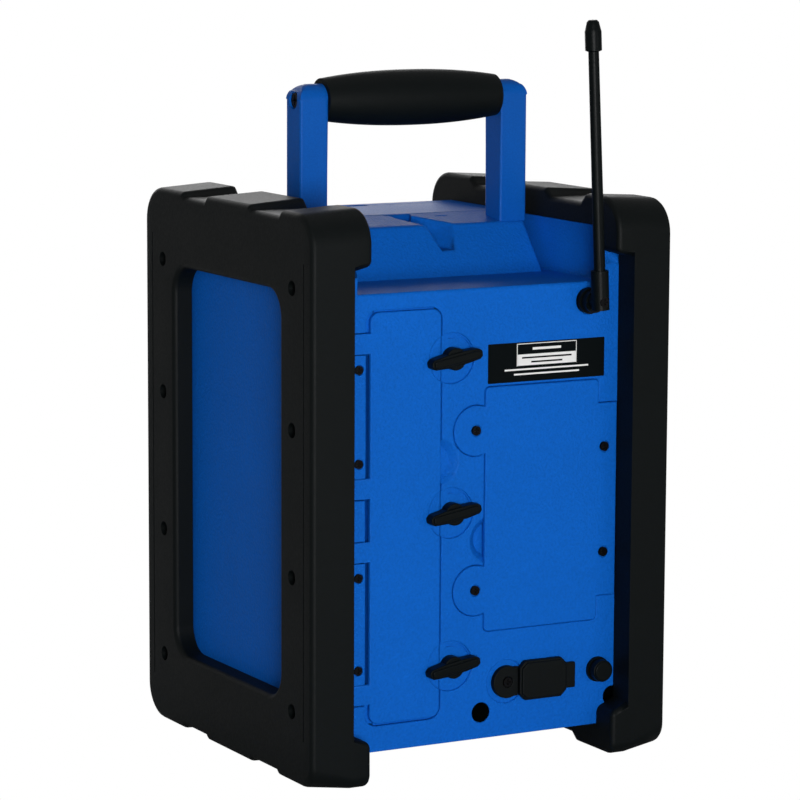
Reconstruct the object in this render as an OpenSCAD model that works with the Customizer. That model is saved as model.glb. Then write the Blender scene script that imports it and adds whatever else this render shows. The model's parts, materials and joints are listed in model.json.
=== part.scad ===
// Jobsite radio: two case halves between rubber side bumpers, with a barrel handle.
// X is the width, the speaker faces -Y, the battery door faces +Y, Z = 0 is the ground.

/* [Overall] */
// Width across the two side bumpers
radio_w = 247; // [241:1:255]
// Depth across the bumpers at their inner edge, front to back
radio_d = 233.4; // [230:0.2:240]
// Height of the bumpers at their inner edge, feet to top
radio_h = 345; // [342:1:350]

/* [Bumpers] */
// Thickness of the bumper web beside the case
web_t = 12.7; // [11:0.1:14]
// How far the bumper stands behind and before the case
flange_t = 18.4; // [17:0.1:20]
// Width of the bumper flange seen from behind
flange_w = 27.5; // [26:0.5:28]
// Width of the corner lugs at top and bottom
corner_w = 39.5; // [37:0.5:42]
// Height of the bottom corner lugs
corner_low = 27; // [24:1:30]
// Height of the top corner lugs
corner_high = 33; // [29:1:38]
// Rubber under the case, its ground clearance
foot_t = 16.1; // [15:0.1:18]
// Rubber over the case
cap_t = 18.3; // [17:0.1:20]
// Wall of the hollow bumper moulding
bumper_wall = 4; // [3:0.5:5]
// Corner radius of the bumper side
bumper_r = 21; // [16:1:26]
// Corner radius of the bumper's heel, low at the back
heel_r = 8; // [5:1:14]
// How much lower the bumper's top and foot are drawn in at the outer face
bumper_draft = 2.4; // [1:0.2:3]
// How much its back and front are drawn in at the outer face
side_draft = 1.4; // [0.6:0.2:2]
// Width of the side window
window_w = 147; // [138:1:152]
// Height of the side window
window_h = 246; // [236:1:250]
// Corner radius of the side window
window_r = 17; // [12:1:24]
// Depth of the notches across the bumper top
notch_top = 5.5; // [4:0.5:6]
// Depth of the notches across the bumper foot
notch_foot = 4.5; // [3:0.5:5]
// Distance of the bumper screws from the bumper's middle
bumper_screw_y = 89.5; // [88:0.5:91]
// Radius of the bumper screw recess
bumper_hole_r = 4.6; // [4.2:0.1:5]

/* [Case] */
// Wall of both case halves
wall = 3; // [2.5:0.1:3.5]
// Where the two halves meet, along the depth
split_y = -15; // [-17:0.5:-13]
// Height of the shelf behind the top block
shelf_z = 293.4; // [291:0.2:295]
// Height of the top deck
deck_z = 327.4; // [327:0.1:329]
// How much the top block falls from the seam to the handle
block_fall = 4.2; // [3:0.2:6]
// Length of the slope behind the handle
slope_run = 24; // [20:1:28]
// Radius of the deck's front edge
deck_r = 10; // [6:1:12]
// Depth of the cable channel in the top block
channel_depth = 16; // [12:0.5:18]
// Width of the cable channel at its back end
channel_w = 20.8; // [16:0.2:22]
// Width of the channel's floor
channel_floor = 9; // [7:0.5:12]
// Width of the channel's throat before the handle
channel_throat = 13.6; // [12:0.2:16]
// Width of the channel's mouth under the lid
channel_mouth = 20.9; // [18:0.1:24]
// Room between the top block and the bumper's lug beside it
block_gap = 6; // [5:0.5:8]
// Screw hole radius in the back face
case_hole_r = 6.2; // [5.5:0.1:6.8]

/* [Battery bay] */
// Height of the middle of the door and the covers
mid_z = 157.9; // [156:0.1:160]
// Length of one D cell
cell_len = 61.5; // [60.5:0.1:62]
// Diameter of one D cell
cell_d = 33.2; // [32:0.1:34]
// Width of the door
door_w = 48; // [46:0.5:50]
// X of the door's free edge
door_free_x = 27.5; // [26.5:0.5:28.5]
// Thickness of the door
door_t = 3; // [2.4:0.1:3.4]
// Corner radius of the door
door_r = 6; // [4:0.5:9]
// Height of one hinge tab
tab_h = 12.4; // [10:0.2:14]
// Distance of the outer tabs from the door's middle
tab_out = 105.9; // [103:0.5:108]
// Distance of the inner tabs from the door's middle
tab_in = 19.1; // [17:0.5:22]
// X of the hinge pin
hinge_x = 89; // [88:0.1:89.4]
// Radius of the hinge pin
hinge_pin_r = 1.5; // [1.2:0.1:1.6]
// Radius of the hinge knuckle
knuckle_r = 3.8; // [3.4:0.1:4]
// Spacing of the two screws of a hinge plate
plate_screw_pitch = 56.2; // [50:0.5:60]

/* [Twist locks] */
// Distance between neighbouring locks
lock_pitch = 94; // [90:0.5:96]
// X of the lock shafts
lock_x = 20.2; // [19.6:0.1:20.4]
// Length of the wing
wing_len = 35; // [32:0.5:37]
// Thickness of the wing
wing_t = 8; // [6:0.5:9]
// How far the wing stands out of the back face
wing_out = 8; // [6:0.5:8.5]
// Radius of the round dish
dish_r = 15.3; // [14:0.1:16]
// Depth of the dish
dish_t = 1.4; // [1:0.1:1.6]
// Tilt of the locked wing
wing_tilt = 10; // [0:1:14]
// Radius of the lock shaft
lock_shaft_r = 4; // [3.2:0.1:4.4]

/* [Service cover] */
// Width of the cover's main panel
cover_w = 80; // [76:0.5:82]
// Height of the cover's main panel
cover_h = 150; // [144:1:152]
// X of the cover's edge beside the locks
cover_x = -2.8; // [-3.6:0.2:-2.4]
// Height of the side wing
cover_wing_h = 120.5; // [112:0.5:126]
// Reach of the side wing
cover_wing = 13.2; // [12.4:0.2:14]
// Radius of the screw lobes
lobe_r = 15.5; // [14:0.5:16.5]
// Distance of the lobes from the middle
lobe_z = 49; // [46:0.5:52]
// Thickness of the cover
cover_t = 3; // [2.4:0.1:3.6]
// How far the cover stands proud
cover_proud = 0.8; // [0.4:0.1:1.2]
// Width of the label
label_w = 82; // [76:0.5:84]
// Height of the label
label_h = 24; // [20:0.5:25]

/* [Power socket] */
// Height of the socket, the cap and the fuse
socket_z = 50.2; // [49:0.2:52]
// X of the cap's fixing screw
cap_screw_x = -19; // [-20:0.2:-18.6]
// Width of the cap flap
flap_w = 33.4; // [31:0.1:36]
// Height of the cap flap
flap_h = 24.6; // [23:0.2:26]
// Thickness of the cap flap
flap_t = 5.5; // [4:0.5:6.5]
// Radius of the round fixing tab
cap_tab_r = 10; // [9:0.2:10.6]
// X of the fuse cap
fuse_x = -84; // [-84.6:0.2:-83]
// Radius of the fuse cap
fuse_cap_r = 6.8; // [6:0.1:7.4]
// How far the fuse cap stands out
fuse_out = 9; // [7:0.5:10]

/* [Antenna] */
// X of the antenna pivot
antenna_x = -74.6; // [-75.2:0.2:-74]
// Height of the antenna pivot
antenna_z = 282.4; // [281.4:0.2:283]
// Length from the pivot to the tip
antenna_len = 170; // [164:1:171]
// Radius of the whip
whip_r = 3.5; // [3:0.1:4]
// Radius of the tip
tip_r = 5.1; // [4.4:0.1:5.5]
// Radius of the pivot sleeve
sleeve_r = 5.4; // [5:0.1:5.6]
// Lean of the whip at rest, from upright
antenna_lean = 2.7; // [0:0.1:4]

/* [Handle] */
// Room between a post and the bumper's lug beside it
post_gap = 4.5; // [4:0.5:6]
// Width of one post
arm_w = 18.8; // [17:0.2:20]
// Depth of one post
arm_d = 19.5; // [18:0.5:21]
// Middle of the posts along the depth
handle_y = 4.85; // [4:0.05:5.6]
// Height of the grip's axis
grip_z = 401.9; // [398:0.1:405]
// Radius of the grip at its middle
grip_r = 17.2; // [15.5:0.1:18]
// Radius of the grip at its ends
grip_end_r = 13; // [12:0.1:14]
// Radius of the steel bar in the grip
bar_r = 5; // [4:0.1:6]

/* [Front] */
// Height of the speaker's middle
speaker_z = 114; // [111:1:116]
// Radius of the speaker grille
grille_r = 80; // [76:0.5:82]
// Radius of the speaker opening
speaker_r = 64; // [60:0.5:66]
// Width of the control panel
panel_w = 176; // [170:1:180]
// Height of the control panel
panel_h = 104; // [100:0.5:106]
// Height of the middle of the control panel
panel_z = 257.5; // [255.5:0.5:259]
// Radius of the two knobs
knob_r = 19; // [16:0.5:21]
// Spread of the two knobs
knob_pitch = 132; // [126:1:136]
// Travel of the buttons
button_travel = 1.2; // [1:0.1:1.5]
// Width of the display window
window_disp_w = 74; // [68:1:80]
// Height of the display window
window_disp_h = 34; // [28:1:38]

/* [Top compartment] */
// Room between the lid's end and the bumper's lug beside it
lid_gap = 8; // [7.5:0.5:11]
// From the case's front to the lid's front edge
lid_front = 20.4; // [18:0.2:24]
// Thickness of the lid
lid_t = 3.6; // [3:0.1:4]
// Radius of the lid's round back edge
lid_edge_r = 4; // [3.4:0.1:4.4]
// Depth of the compartment under the deck
tub_depth = 40; // [34:1:42]

/* [Hidden] */
$fn = 64;

blue = [0.04, 0.37, 0.78];
black = [0.09, 0.11, 0.11];
steel = [0.6, 0.6, 0.62];

// clearances
snug = 0.3;          // between a moving or soft piece and its neighbour
line_gap = 0.6;      // gap beside the door's free edge
end_gap = 1.2;       // gap over and under the door
fit = 0.05;          // radial clearance of a shaft in its bore
eps = 0.01;          // overrun of a cut

// case block, from the bumpers inwards
case_x = radio_w / 2 - web_t - snug;
case_y = radio_d / 2 - flange_t - snug;
case_z0 = foot_t + snug;
cheek_z = radio_h - cap_t - snug;
cheek_x = radio_w / 2 - corner_w;
inner_x = case_x - wall;
inner_y = case_y - wall;
post_x = cheek_x - post_gap;
block_x = cheek_x - block_gap;
arm_y0 = handle_y - arm_d / 2;
arm_y1 = handle_y + arm_d / 2;
block_z1 = deck_z - block_fall;
slope_y1 = arm_y1 + slope_run;
channel_z = block_z1 - channel_depth + 1;
// middle of the cable channel at the seam, at its throat and at its back end
channel_front_x = -2.5;
channel_throat_x = -3.7;
channel_back_x = -17.4;
throat_y = split_y + 5.4;

// bumper columns and windows
bumper_x = radio_w / 2;
bumper_y = radio_d / 2;
screw_rows = [45.4, 126.4, 214.4, 298.4];
rib_ys = [window_w / 2 - 3.5, window_w / 6 + 0.5];
rib_t = 3;
bumper_hole_t = 6;
window_z = 172.4;
flange_x = bumper_x - flange_w;
ridge_slope = 6;
notch_tops = [[-58.6, -30], [35, 71]];     // floors of the notches, along the depth
notch_feet = [[-59, -30], [36, 68]];
line_y = bumper_y - 12;

// door and hinge
door_h = 4 * cell_len + 2.7;
door_x1 = door_free_x + door_w;
plate_x0 = door_x1 + 3.2;
plate_x1 = hinge_x + 7.8;
hinge_y = case_y - knuckle_r - 0.4;
pocket_x1 = hinge_x + knuckle_r + 0.8;
pocket_y = hinge_y - knuckle_r - 1;
tab_zs = [tab_out, tab_in, -tab_in, -tab_out];
plate_mid = (tab_out + tab_in) / 2;
plate_h = tab_out - tab_in - tab_h - 2 * snug;
plate_screw_x = plate_x0 + 4.4;
bay_w = cell_d + 2.4;
bay_x = (door_free_x + door_x1) / 2;
bay_d = cell_d + 1.6;
bay_len = 4 * cell_len + 7;
bay_y1 = inner_y - 0.4;
cell_y = bay_y1 - 0.6 - cell_d / 2;
cell_lift = 1.6;                           // the spring pushes the cells up by this
seal_w = 2;
seal_t = 1;
lock_zs = [lock_pitch, 0, -lock_pitch];
hub_r = door_free_x - lock_x - snug - 0.2;

// cover and label
cover_xm = cover_x - cover_w / 2;
cover_x1 = cover_x - cover_w;
lobe_x = cover_x + 6.2;
cover_screw_x = cover_x1 - cover_wing / 2 + 2;
cover_screw_z = 32.9;
service_x0 = cover_x - 5;
service_x1 = cover_x1 + 6;
service_h = cover_h - 12;
label_z = mid_z + cover_h / 2 + 1.8 + label_h / 2;
label_t = 0.3;

// socket, fuse, antenna
flap_x1 = cap_screw_x - 7.6;
flap_x0 = flap_x1 - flap_w;
inlet_x = (flap_x0 + flap_x1) / 2;
inlet_w = 23;
inlet_h = 12;
inlet_deep = 24;
fuse_z = socket_z + 1.2;
fuse_r = 5.6;
antenna_y = case_y + 14;
tip_len = 19;
sleeve_low = 5;
sleeve_high = 19;

// finger scoops beside the door and the cover: x, z
scoop_at = [[door_free_x + 2.5, mid_z + 31.7], [cover_x - 4.7, mid_z - 18.5]];
scoop_r = 14.6;
scoop_t = 4.4;
scoop_flare = 1.05;      // how much the scoop widens for each millimetre of height

// case screw columns: x, z
case_screw_at = [[-1.5, 32.7], [-95.2, mid_z - 0.3], [-95.4, 33.2], [95.4, 33.2], [95.4, 284]];
case_head_y = 20;

// front
front_y = -case_y;
panel_sink = 2;
panel_t = 3;
panel_y0 = front_y + panel_sink - panel_t;
disp_z = panel_z + 25;
knob_z = panel_z + 20;
button_z = panel_z - 12;
button_w = 19;
button_h = 9;
button_pitch = 25;
board_y = front_y + 15;
board_t = 1.6;
key_t = 3.4;
bush_r = 3.5;
spindle_r = 2;
grille_t = 3.4;
grille_sink = 2;
grille_slot = 4.2;
grille_rib = 3.2;
speaker_flange_r = speaker_r + 10;
speaker_flange_t = 2.4;
spk_screw_r = speaker_r + 6;
seat_r = speaker_r - 6;                    // seat of the cone's surround
seat_t = 1.2;
cone_r = seat_r - 12;
coil_r = 13;
basket_depth = 26;

// lid
lid_axis_y = split_y - lid_edge_r - 0.6;
lid_axis_z = deck_z - lid_edge_r;
lid_y0 = front_y + lid_front;
lid_x = cheek_x - lid_gap;
lid_pin_r = 1.5;
rim_t = 1.6;
rim_z = deck_z - lid_t - 0.4;
tub_x = lid_x - 4;
tub_y0 = lid_y0 + 4;
tub_y1 = lid_axis_y - lid_edge_r - 1.2;
tub_wall = 2;
tub_z0 = rim_z - tub_depth;

// ---------- drawing helpers ----------

module along_y(y0, y1) {
    translate([0, y1, 0]) rotate([90, 0, 0]) linear_extrude(y1 - y0) children();
}

module along_x(x0, x1) {
    translate([x0, 0, 0]) rotate([90, 0, 90]) linear_extrude(x1 - x0) children();
}

module disc_y(r, y0, y1) {
    translate([0, y1, 0]) rotate([90, 0, 0]) cylinder(r = r, h = y1 - y0);
}

module disc_x(r, x0, x1) {
    translate([x0, 0, 0]) rotate([0, 90, 0]) cylinder(r = r, h = x1 - x0);
}

module at_xz(x, z) {
    translate([x, 0, z]) children();
}

module box(x0, x1, y0, y1, z0, z1) {
    translate([x0, y0, z0]) cube([x1 - x0, y1 - y0, z1 - z0]);
}

// a rectangle with round corners, from its middle
module round_rect(w, h, r) {
    square([w - 2 * r, h], center = true);
    square([w, h - 2 * r], center = true);
    for (x = [-1, 1], y = [-1, 1]) translate([x * (w / 2 - r), y * (h / 2 - r)]) circle(r);
}

module both_sides() {
    children();
    mirror([1, 0, 0]) children();
}

// a screw along +Y whose head's outer face lies at y = 0
module screw_y(head_r, head_t, shank_r, len) {
    difference() {
        disc_y(head_r, -head_t, 0);
        for (turn = [0, 90]) rotate([0, turn, 0])
            cube([head_r * 1.3, head_t, head_r * 0.3], center = true);
    }
    disc_y(shank_r, -len, -head_t);
}

// ---------- case ----------

// side view of the top block: seam, handle posts, slope, shelf
module block_profile() {
    polygon([[split_y, shelf_z - 5], [split_y, deck_z], [arm_y1, block_z1],
             [slope_y1, shelf_z], [slope_y1, shelf_z - 5]]);
}

// side view of the cheek, its back top corner cut off
module cheek_profile(y0, y1, z1) {
    polygon([[y0, shelf_z - 5], [y0, z1], [y1 - 11, z1], [y1, z1 - 24], [y1, shelf_z - 5]]);
}

module back_outer() {
    box(-case_x, case_x, split_y, case_y, case_z0, shelf_z);
    both_sides() along_x(cheek_x, case_x) cheek_profile(split_y, case_y, cheek_z);
    along_x(-block_x, block_x) block_profile();
    along_x(-cheek_x - 1, cheek_x + 1)
        polygon([[split_y, shelf_z - 5], [split_y, cheek_z], [arm_y0, cheek_z - 1],
                 [arm_y0, shelf_z - 5]]);
}

module back_inner() {
    box(-inner_x, inner_x, split_y - 1, inner_y, case_z0 + wall, shelf_z - wall);
    both_sides() along_x(cheek_x + wall, inner_x)
        cheek_profile(split_y - 1, inner_y, cheek_z - wall);
    along_x(-block_x + wall, block_x - wall)
        polygon([[split_y - 1, shelf_z - 5], [split_y - 1, block_z1 - wall],
                 [arm_y1, block_z1 - wall - 0.4], [slope_y1 - wall - 1, shelf_z],
                 [slope_y1 - wall - 1, shelf_z - 5]]);
}

// cross-section of the cable channel
module channel_slice(x, y, w, grow) {
    translate([x, 0, channel_z]) along_y(y, y + eps)
        polygon([[-channel_floor / 2 - grow, -grow], [channel_floor / 2 + grow, -grow],
                 [w / 2 + grow, channel_depth + 2], [w / 2 + grow, channel_depth + 20],
                 [-w / 2 - grow, channel_depth + 20], [-w / 2 - grow, channel_depth + 2]]);
}

module channel_run(grow, y1) {
    hull() {
        channel_slice(channel_front_x, split_y - 1, channel_mouth, grow);
        channel_slice(channel_throat_x, throat_y, channel_throat, grow);
    }
    hull() {
        channel_slice(channel_throat_x, throat_y, channel_throat, grow);
        channel_slice(channel_back_x, arm_y1, channel_w, grow);
    }
    hull() {
        channel_slice(channel_back_x, arm_y1, channel_w, grow);
        channel_slice(channel_back_x, y1, channel_w, grow);
    }
}

module lock_dish(x = lock_x) {
    for (dz = lock_zs) at_xz(x, mid_z + dz) {
        disc_y(dish_r, case_y - dish_t, case_y + 1);
        // quarter groove for the wing's stop
        intersection() {
            difference() {
                disc_y(dish_r - 0.8, case_y - dish_t - 0.9, case_y + 1);
                disc_y(dish_r - 3.4, case_y - dish_t - 2, case_y + 2);
            }
            rotate([0, wing_tilt, 0]) box(-20, 0.01, case_y - 3, case_y + 3, 0, 20);
        }
    }
}

module finger_scoop(x, z) {
    above = 1;
    translate([x, case_y + above, z]) rotate([90, 0, 0])
        cylinder(h = scoop_t + above, r1 = scoop_r + above * scoop_flare,
                 r2 = scoop_r - scoop_t * scoop_flare, $fn = 96);
}

module case_screw_posts() {
    for (p = case_screw_at) at_xz(p[0], p[1]) disc_y(case_hole_r + 2.2, split_y, case_y - 1);
}

module bumper_bosses(y_sign) {
    for (z = screw_rows) both_sides() translate([0, y_sign * bumper_screw_y, z])
        disc_x(4.2, inner_x - 10, inner_x + 1);
}

module bumper_pilots(y_sign) {
    for (z = screw_rows) both_sides() translate([0, y_sign * bumper_screw_y, z])
        disc_x(1.9 + fit, inner_x - 9, case_x + 1);
}

module bay_walls() {
    w = 2.4;
    box(bay_x - bay_w / 2 - w, bay_x + bay_w / 2 + w, bay_y1 - bay_d - w, inner_y + 1,
        mid_z - bay_len / 2 - w, mid_z + bay_len / 2 + w);
}

module hinge_pocket_body() {
    box(door_x1 - 4, pocket_x1 + 4, pocket_y - 2, inner_y + 1,
        mid_z - tab_out - tab_h / 2 - 12, mid_z + tab_out + tab_h / 2 + 12);
}

module hinge_pocket() {
    z_end = tab_out + tab_h / 2 + 0.4;
    difference() {
        union() {
            // the pocket behind the tabs and plates
            box(door_x1 - 1, pocket_x1, pocket_y, case_y + 1, mid_z - z_end, mid_z + z_end);
            // the seat of the two plates
            for (s = [-1, 1]) at_xz(0, mid_z + s * plate_mid)
                box(plate_x0, plate_x1 + snug, inner_y, case_y + 1,
                    -plate_h / 2 - snug, plate_h / 2 + snug);
        }
        // the fixed block in the middle
        box(plate_x0, case_x, 0, case_y, mid_z - tab_in + tab_h / 2 + 0.4,
            mid_z + tab_in - tab_h / 2 - 0.4);
        // ribs that carry the pin, and posts for the plate screws
        for (s = [-1, 1]) at_xz(0, mid_z + s * plate_mid) {
            box(hinge_x - 4, case_x, 0, inner_y, -3, 3);
            for (t = [-1, 1]) at_xz(plate_screw_x, t * plate_screw_pitch / 2)
                disc_y(2.7, 0, inner_y);
        }
    }
}

module hinge_pin_shape(r, spare) {
    translate([hinge_x, hinge_y, mid_z - tab_out - tab_h / 2 - 8 - spare])
        cylinder(r = r, h = 2 * tab_out + tab_h + 16 + 2 * spare);
}

module inlet_hole(grow) {
    at_xz(inlet_x, socket_z) along_y(inner_y - 30, case_y + 1)
        round_rect(inlet_w + 2 * grow, inlet_h + 2 * grow, 4 + grow);
}

module arm_tenon(grow) {
    box(post_x - arm_w / 2 - 6 - grow, post_x - arm_w / 2 + 6 + grow, handle_y - 6 - grow,
        handle_y + 6 + grow, block_z1 - 22 - grow, block_z1 + 6);
}

module back_case() {
    color(blue) difference() {
        union() {
            difference() {
                back_outer();
                back_inner();
            }
            intersection() {
                back_outer();
                union() {
                    bay_walls();
                    hinge_pocket_body();
                    case_screw_posts();
                    bumper_bosses(1);
                    // floor and walls of the cable channel
                    channel_run(wall, slope_y1);
                    // sockets of the handle posts
                    both_sides() arm_socket();
                    // backing behind the scoops, locks and antenna
                    for (p = scoop_at) at_xz(p[0], p[1]) disc_y(scoop_r + 2.4, inner_y - 3, inner_y + 1);
                    for (dz = lock_zs) at_xz(lock_x, mid_z + dz)
                        disc_y(lock_shaft_r + 2.5, inner_y - 5, inner_y + 1);
                    at_xz(antenna_x, antenna_z - 0.8) disc_y(9, inner_y - 4, inner_y + 1);
                    at_xz(fuse_x, fuse_z) disc_y(fuse_r + 3, inner_y - 3, inner_y + 1);
                    board_posts();
                    // ribs round the inlet
                    inlet_collar();
                }
            }
        }
        // battery door opening and bay
        at_xz((door_free_x - line_gap + plate_x0) / 2, mid_z) along_y(inner_y, case_y + 1)
            round_rect(plate_x0 - door_free_x + line_gap, door_h + 2 * end_gap, door_r + 2);
        at_xz(bay_x, mid_z) along_y(bay_y1 - 3, inner_y + eps)
            round_rect(door_w - 4.6, door_h - 3, 3);
        box(bay_x - bay_w / 2, bay_x + bay_w / 2, bay_y1 - bay_d, bay_y1,
            mid_z - bay_len / 2, mid_z + bay_len / 2);
        hinge_pocket();
        hinge_pin_shape(hinge_pin_r + fit, 0.4);
        for (s = [-1, 1], t = [-1, 1])
            at_xz(plate_screw_x, mid_z + s * plate_mid + t * plate_screw_pitch / 2)
                disc_y(1.2 + fit, inner_y - 6, inner_y + 1);
        // locks
        lock_dish();
        for (dz = lock_zs) at_xz(lock_x, mid_z + dz)
            disc_y(lock_shaft_r + fit, inner_y - 6, case_y + 1);
        for (p = scoop_at) finger_scoop(p[0], p[1]);
        // service opening and the seat of its cover
        along_y(case_y - cover_t + cover_proud, case_y + 1) cover_outline(0.25);
        difference() {
            box(service_x1, service_x0, inner_y - 5, case_y, mid_z - service_h / 2,
                mid_z + service_h / 2);
            at_xz(scoop_at[1][0], scoop_at[1][1]) disc_y(scoop_r + 1.9, inner_y - 6, case_y + 1);
        }
        cover_screw_places() disc_y(1.5 + fit, inner_y - 6, case_y);
        // socket, fuse, antenna
        inlet_hole(0.1);
        at_xz(cap_screw_x, socket_z) {
            disc_y(cap_tab_r + 3.4, case_y - 1.2, case_y + 1);
            disc_y(1.4 + fit, inner_y - 6, case_y);
        }
        at_xz(fuse_x, fuse_z) disc_y(fuse_r + 0.1, inner_y - 10, case_y + 1);
        at_xz(antenna_x, antenna_z - 0.8) {
            disc_y(8.3, case_y - 1.2, case_y + 1);
            disc_y(3.2 + fit, inner_y - 10, case_y + 1);
        }
        // case screws from behind
        for (p = case_screw_at) at_xz(p[0], p[1]) {
            disc_y(case_hole_r, case_head_y, case_y + 1);
            disc_y(2.2, split_y - 1, case_y);
        }
        bumper_pilots(1);
        // cable channel, latch slot, handle sockets
        channel_run(0, slope_y1 + 10);
        translate([channel_back_x - 13, split_y + 8, deck_z - 4]) cube([9, 1.8, 6], center = true);
        both_sides() arm_tenon(fit);
        // seal groove
        seal_ring(split_y - 1, split_y + 1.5, fit);
    }
}

module arm_socket() {
    box(post_x - arm_w / 2 - 9, block_x, handle_y - 9, handle_y + 9, block_z1 - 26, deck_z);
}

module inlet_collar() {
    at_xz(inlet_x, socket_z) along_y(inner_y - 6, inner_y + 1)
        round_rect(inlet_w + 5, inlet_h + 5, 5);
}

module case_seal() {
    color(black) seal_ring(split_y, split_y + 1.5, 0);
}

// ring in the seam, inside the wall of the straight-sided part
module seal_ring(y0, y1, grow) {
    z0 = case_z0;
    z1 = cheek_z - cap_t;
    difference() {
        box(-case_x + 0.9 - grow, case_x - 0.9 + grow, y0, y1, z0 + 0.9 - grow, z1);
        box(-case_x + 2.1 + grow, case_x - 2.1 - grow, y0 - 1, y1 + 1, z0 + 2.1 + grow, z1 + 1);
    }
}

// ---------- front half ----------

module deck_profile(y0, z1, r, inset) {
    polygon(concat([[split_y, case_z0 + inset], [split_y, z1], [y0 + r, z1]],
                   [for (a = [90:-15:0]) [y0 + r - r * cos(a), z1 - r + r * sin(a)]],
                   [[y0, case_z0 + inset]]));
}

module front_outer() {
    along_x(-cheek_x + snug, cheek_x - snug) deck_profile(front_y, deck_z, deck_r, 0);
    along_x(-case_x, case_x) deck_profile(front_y, cheek_z, deck_r, 0);
}

module front_inner() {
    along_x(-inner_x, inner_x) translate([0.01, 0])
        deck_profile(front_y + wall, cheek_z - wall, deck_r - wall, wall);
}

module panel_outline(grow) {
    at_xz(0, panel_z) along_y(panel_y0 - 5, front_y + panel_sink)
        round_rect(panel_w + 2 * grow, panel_h + 2 * grow, 9 + grow);
}

// frame under the lid: side ledges, front ledge and the bar behind the compartment
module lid_frame() {
    box(-lid_x - 6, lid_x + 6, lid_y0 - 5, split_y, rim_z - rim_t - 4, deck_z);
    box(-lid_x - 6, lid_x + 6, tub_y1 + snug, split_y, channel_z - 6, deck_z);
}

module lid_pocket() {
    box(-lid_x - snug, lid_x + snug, lid_y0 - snug, split_y + 1, rim_z - rim_t, deck_z + 1);
    // trough for the lid's round back edge
    translate([0, lid_axis_y, lid_axis_z])
        disc_x(lid_edge_r + 0.5, -lid_x - snug, lid_x + snug);
    // finger dip before the lid
    translate([0, lid_y0 - 1.5, deck_z + 1]) disc_x(4, -16, 16);
}

module front_case() {
    color(blue) difference() {
        union() {
            difference() {
                front_outer();
                front_inner();
            }
            intersection() {
                front_outer();
                union() {
                    lid_frame();
                    bumper_bosses(-1);
                    // mating posts of the case screws
                    for (p = case_screw_at) at_xz(p[0], p[1])
                        disc_y(case_hole_r + 0.6, front_y + 1, split_y);
                    // posts of the control board
                    for (x = [-1, 1], z = [-1, 1])
                        at_xz(x * (panel_w / 2 - 9), panel_z - 3 + z * (panel_h / 2 - 10))
                            disc_y(4, front_y + 1, board_y);
                    // bosses of the speaker
                    for (a = [45:90:315]) at_xz(spk_screw_r * cos(a), speaker_z + spk_screw_r * sin(a))
                        disc_y(4, front_y + 1, front_y + wall + 0.5);
                }
            }
        }
        // compartment
        lid_pocket();
        box(-tub_x - fit, tub_x + fit, tub_y0 - fit, tub_y1 + fit, tub_z0 - 4, deck_z);
        translate([0, 0, channel_z]) linear_extrude(rim_z - channel_z) translate([channel_front_x, 0])
            polygon([[-channel_mouth / 2, split_y + 1], [channel_mouth / 2, split_y + 1],
                     [channel_mouth / 2, tub_y1 - 1], [-channel_mouth / 2, tub_y1 - 1]]);
        both_sides() translate([0, lid_axis_y, lid_axis_z]) disc_x(lid_pin_r + fit, lid_x, lid_x + 6);
        // control panel seat, the window behind it and the speaker opening
        panel_outline(0.2);
        at_xz(0, panel_z) along_y(front_y - 1, front_y + wall + 1)
            round_rect(panel_w - 40, panel_h - 22, 5);
        for (x = [-1, 1]) at_xz(x * knob_pitch / 2, knob_z) disc_y(9, front_y - 1, front_y + 5);
        at_xz(0, speaker_z) disc_y(speaker_r, front_y - 1, front_y + wall + 1);
        at_xz(0, speaker_z) disc_y(grille_r + 0.2, front_y - 1, front_y + grille_sink);
        for (a = [45:90:315]) at_xz(spk_screw_r * cos(a), speaker_z + spk_screw_r * sin(a))
            disc_y(1.5 + fit, front_y + grille_sink + 0.4, front_y + 10);
        // screws
        for (p = case_screw_at) at_xz(p[0], p[1]) disc_y(1.9 + fit, split_y - 18, split_y + 1);
        bumper_pilots(-1);
    }
}

module compartment_tub() {
    color(blue) difference() {
        union() {
            box(-tub_x, tub_x, tub_y0, tub_y1, tub_z0, rim_z - rim_t);
            box(-lid_x, lid_x, lid_y0, tub_y1, rim_z - rim_t, rim_z);
        }
        box(-tub_x + tub_wall, tub_x - tub_wall, tub_y0 + tub_wall, tub_y1 - tub_wall,
            tub_z0 + tub_wall, deck_z);
        // the cable's way out
        box(channel_front_x - channel_mouth / 2, channel_front_x + channel_mouth / 2,
            tub_y1 - tub_wall - 1, tub_y1 + 1, channel_z, deck_z);
    }
}

module compartment_lid() {
    color(blue) difference() {
        union() {
            box(-lid_x, lid_x, lid_y0, lid_axis_y, deck_z - lid_t, deck_z);
            translate([0, lid_axis_y, lid_axis_z]) disc_x(lid_edge_r, -lid_x, lid_x);
        }
        both_sides() translate([0, lid_axis_y, lid_axis_z])
            disc_x(lid_pin_r + fit, lid_x - 8, lid_x + 1);
        // finger dip
        translate([0, lid_y0 - 1.5, deck_z + 1]) disc_x(4, -16, 16);
    }
}

module lid_hinge_pins() {
    color(steel) both_sides() translate([0, lid_axis_y, lid_axis_z])
        disc_x(lid_pin_r, lid_x - 7.5, lid_x + 5.8);
}

// ---------- bumpers ----------

// side view of a bumper: three large corners and a smaller heel, drawn in by side, foot and top
module bumper_side(side, foot, top, r, heel) {
    d = radio_d / 2 - side;
    z1 = radio_h - top;
    translate([-d + r, foot]) square([2 * d - 2 * r, z1 - foot]);
    translate([-d, foot + r]) square([r + 1, z1 - foot - 2 * r]);
    translate([d - r - 1, foot + heel]) square([r + 1, z1 - foot - heel - r]);
    translate([d - r - 1, foot]) square([r + 1 - heel, heel + 1]);
    for (p = [[-d + r, foot + r], [-d + r, z1 - r], [d - r, z1 - r]]) translate(p) circle(r, $fn = 48);
    translate([d - heel, foot + heel]) circle(heel, $fn = 48);
}

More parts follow.
